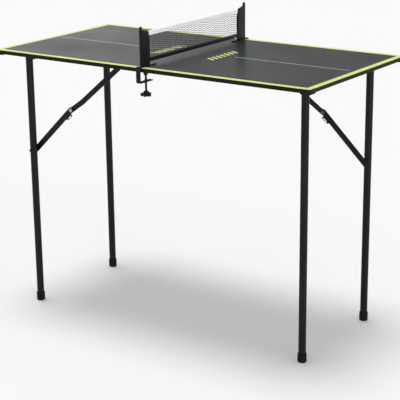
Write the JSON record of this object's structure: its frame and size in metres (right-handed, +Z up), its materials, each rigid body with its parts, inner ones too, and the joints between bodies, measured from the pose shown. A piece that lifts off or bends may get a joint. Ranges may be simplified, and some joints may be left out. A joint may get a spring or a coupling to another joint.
{
  "type": "ping pong table",
  "caption": "Compact folding table tennis table: thin grey playing top on black tubular leg frames that fold up on latched braces, with a clamp-on net.",
  "frame": {"origin": "on the floor, under the centre of the playing top", "axes": "+Z up; X along the length of the top, with the net over X = 0; Y across the top"},
  "size_m": [0.9, 0.463, 0.764],
  "materials": {
    "board_paint": "satin",
    "edge_trim": "satin",
    "frame_steel": "semi-gloss powder coat",
    "zinc": "zinc plated",
    "foot_rubber": "matte",
    "net_cloth": "open knotless mesh",
    "net_tape": "woven",
    "knob_plastic": "moulded"
  },
  "bodies": {
    "table": {"table_top_board": "board_paint", "edge_band_front": "edge_trim", "edge_band_back": "edge_trim", "edge_band_left": "edge_trim", "edge_band_right": "edge_trim", "corner_cap_back_right": "edge_trim", "corner_cap_front_left": "edge_trim", "corner_cap_front_right": "edge_trim", "corner_cap_back_left": "edge_trim", "left_pivot_clip_outer": "frame_steel", "left_pivot_clip_inner": "frame_steel", "left_clip_screw_outer": "zinc", "left_clip_screw_inner": "zinc", "left_brace_bracket": "frame_steel", "left_bracket_screw_1": "zinc", "left_bracket_screw_2": "zinc", "left_bracket_rivet": "zinc", "right_pivot_clip_outer": "frame_steel", "right_pivot_clip_inner": "frame_steel", "right_clip_screw_outer": "zinc", "right_clip_screw_inner": "zinc", "right_brace_bracket": "frame_steel", "right_bracket_screw_1": "zinc", "right_bracket_screw_2": "zinc", "right_bracket_rivet": "zinc", "net_mesh": "net_cloth", "net_top_tape": "net_tape", "net_bottom_bar": "frame_steel", "net_post_front": "frame_steel", "net_post_back": "frame_steel", "net_clamp_front": "frame_steel", "net_clamp_back": "frame_steel"},
    "left_frame": {"left_leg_tube_braced": "frame_steel", "left_leg_tube_plain": "frame_steel", "left_crossbar": "frame_steel", "left_foot_cap_braced": "foot_rubber", "left_foot_cap_plain": "foot_rubber", "left_leg_rivet": "frame_steel"},
    "left_lower_link": {"left_brace_lower_link": "frame_steel", "left_knee_rivet": "zinc"},
    "left_upper_link": {"left_brace_upper_link": "frame_steel", "left_knee_rivet_head": "zinc"},
    "left_latch": {"left_brace_latch": "frame_steel"},
    "right_frame": {"right_leg_tube_braced": "frame_steel", "right_leg_tube_plain": "frame_steel", "right_crossbar": "frame_steel", "right_foot_cap_braced": "foot_rubber", "right_foot_cap_plain": "foot_rubber", "right_leg_rivet": "frame_steel"},
    "right_lower_link": {"right_brace_lower_link": "frame_steel", "right_knee_rivet": "zinc"},
    "right_upper_link": {"right_brace_upper_link": "frame_steel", "right_knee_rivet_head": "zinc"},
    "right_latch": {"right_brace_latch": "frame_steel"},
    "front_clamp_pad": {"clamp_pad_front": "knob_plastic"},
    "front_clamp_screw": {"clamp_screw_front": "frame_steel", "clamp_knob_front": "knob_plastic"},
    "back_clamp_pad": {"clamp_pad_back": "knob_plastic"},
    "back_clamp_screw": {"clamp_screw_back": "frame_steel", "clamp_knob_back": "knob_plastic"}
  },
  "joints": [
    {"name": "left_leg_fold", "type": "hinge", "parent": "table", "child": "left_frame", "pos_m": [-0.389, -0.015, 0.648], "axis": [0, -1, 0], "range_deg": [0, 90]},
    {"name": "left_lower_link_fold", "type": "hinge", "parent": "left_frame", "child": "left_lower_link", "pos_m": [-0.389, -0.1571, 0.408], "axis": [0, -1, 0], "range_deg": [0, 49.45]},
    {"name": "left_upper_link_fold", "type": "hinge", "parent": "table", "child": "left_upper_link", "pos_m": [-0.11, -0.1533, 0.652], "axis": [0, -1, 0], "range_deg": [-34.73, 0]},
    {"name": "left_latch_press", "type": "hinge", "parent": "left_lower_link", "child": "left_latch", "pos_m": [-0.28716, -0.1552, 0.50687], "axis": [0, -1, 0], "range_deg": [0, 15], "stiffness_Nm_per_rad": 0.2, "springref_deg": -17.19},
    {"name": "right_leg_fold", "type": "hinge", "parent": "table", "child": "right_frame", "pos_m": [0.389, 0.015, 0.648], "axis": [0, 1, 0], "range_deg": [0, 90]},
    {"name": "right_lower_link_fold", "type": "hinge", "parent": "right_frame", "child": "right_lower_link", "pos_m": [0.389, 0.1571, 0.408], "axis": [0, 1, 0], "range_deg": [0, 49.45]},
    {"name": "right_upper_link_fold", "type": "hinge", "parent": "table", "child": "right_upper_link", "pos_m": [0.11, 0.1533, 0.652], "axis": [0, 1, 0], "range_deg": [-34.73, 0]},
    {"name": "right_latch_press", "type": "hinge", "parent": "right_lower_link", "child": "right_latch", "pos_m": [0.28716, 0.1552, 0.50687], "axis": [0, 1, 0], "range_deg": [0, 15], "stiffness_Nm_per_rad": 0.2, "springref_deg": -17.19},
    {"name": "front_pad_slide", "type": "slide", "parent": "table", "child": "front_clamp_pad", "axis": [0, 0, 1], "range_m": [-0.008, 0]},
    {"name": "front_screw_turn", "type": "hinge", "parent": "front_clamp_pad", "child": "front_clamp_screw", "pos_m": [0, -0.202, 0.63], "axis": [0, 0, 1], "range_deg": [-2880, 0]},
    {"name": "back_pad_slide", "type": "slide", "parent": "table", "child": "back_clamp_pad", "axis": [0, 0, 1], "range_m": [-0.008, 0]},
    {"name": "back_screw_turn", "type": "hinge", "parent": "back_clamp_pad", "child": "back_clamp_screw", "pos_m": [0, 0.202, 0.63], "axis": [0, 0, 1], "range_deg": [-2880, 0]}
  ],
  "couplings": [
    {"joint": "left_lower_link_fold", "follows": "left_leg_fold", "ratio": 0.54942},
    {"joint": "left_upper_link_fold", "follows": "left_leg_fold", "ratio": -0.38589},
    {"joint": "right_lower_link_fold", "follows": "right_leg_fold", "ratio": 0.54942},
    {"joint": "right_upper_link_fold", "follows": "right_leg_fold", "ratio": -0.38589},
    {"joint": "front_screw_turn", "follows": "front_pad_slide", "rad_per_m": 6283.2},
    {"joint": "back_screw_turn", "follows": "back_pad_slide", "rad_per_m": 6283.2}
  ]
}
